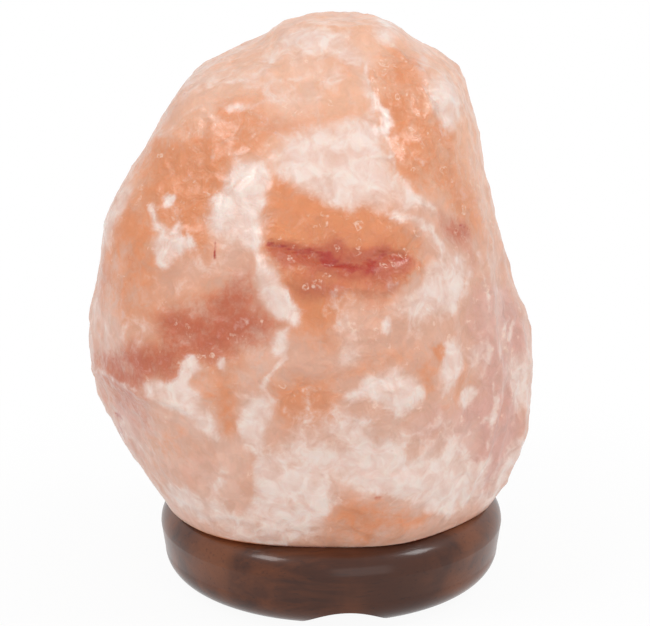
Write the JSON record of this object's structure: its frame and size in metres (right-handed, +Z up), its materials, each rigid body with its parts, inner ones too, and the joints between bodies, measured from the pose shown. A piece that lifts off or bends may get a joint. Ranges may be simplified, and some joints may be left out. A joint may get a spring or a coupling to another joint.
{
  "type": "salt crystal lamp",
  "caption": "Table lamp: a rough rock salt crystal, bored for a small bulb, screwed to a turned wooden base with a pull-out lampholder.",
  "frame": {"origin": "centre of the round base, on the table, in the plane of the felt's underside", "axes": "+Z up along the base's axis, -Y towards the cable channel's mouth at the front, +X to the right"},
  "size_m": [0.1412, 0.1239, 0.181],
  "materials": {
    "rock_salt": "rough broken halite, translucent pink and orange with white clouds",
    "stained_wood": "turned, dark brown stain, satin varnish",
    "felt": "pressed black felt",
    "zinc_steel": "zinc plated",
    "spring_steel": "bright rolled spring strip and wire",
    "phenolic": "moulded black phenolic",
    "gland_plastic": "soft black plastic",
    "steatite": "pressed unglazed steatite",
    "brass": "drawn brass",
    "clear_glass": "blown clear glass",
    "lead_wire": "drawn wire",
    "tungsten": "coiled tungsten wire",
    "black_glass": "pressed black glass",
    "solder": "dull solder"
  },
  "bodies": {
    "stand": {"salt_crystal": "rock_salt", "wooden_base": "stained_wood", "felt_pad": "felt", "base_screws": "zinc_steel"},
    "holder": {"holder_plate": "zinc_steel", "lampholder_shell": "phenolic", "shell_ring_nut": "phenolic", "lampholder_cap": "phenolic", "cap_screws": "zinc_steel", "cord_gland": "gland_plastic", "contact_carrier": "steatite", "centre_contact": "brass", "side_contact": "brass", "terminal_blocks": "brass", "terminal_screws": "zinc_steel", "screw_shell": "brass", "clip_pins": "zinc_steel", "clip_springs": "spring_steel"},
    "clip_left": {"clip_left": "spring_steel"},
    "clip_right": {"clip_right": "spring_steel"},
    "bulb_tip": {"bulb_insulator": "black_glass", "bulb_contact": "solder"},
    "bulb": {"bulb_cap": "brass", "bulb_glass": "clear_glass", "bulb_stem": "clear_glass", "lead_wires": "lead_wire", "filament": "tungsten"}
  },
  "joints": [
    {"name": "holder_pull", "type": "slide", "parent": "stand", "child": "holder", "axis": [0, 0, -1], "range_m": [0, 0.085]},
    {"name": "clip_left_squeeze", "type": "hinge", "parent": "holder", "child": "clip_left", "pos_m": [-0.0177, 0, 0.0176], "axis": [0, 1, 0], "range_deg": [0, 12], "stiffness_Nm_per_rad": 0.05, "springref_deg": -8.59},
    {"name": "clip_right_squeeze", "type": "hinge", "parent": "holder", "child": "clip_right", "pos_m": [0.0177, 0, 0.0176], "axis": [0, -1, 0], "range_deg": [0, 12], "stiffness_Nm_per_rad": 0.05, "springref_deg": -8.59},
    {"name": "bulb_rise", "type": "slide", "parent": "holder", "child": "bulb_tip", "axis": [0, 0, 1], "range_m": [0, 0.00988]},
    {"name": "bulb_unscrew", "type": "hinge", "parent": "bulb_tip", "child": "bulb", "pos_m": [0, 0, 0.0267], "axis": [0, 0, 1], "range_deg": [0, 1261]}
  ],
  "couplings": [
    {"joint": "bulb_unscrew", "follows": "bulb_rise", "rad_per_m": 2226.5}
  ]
}
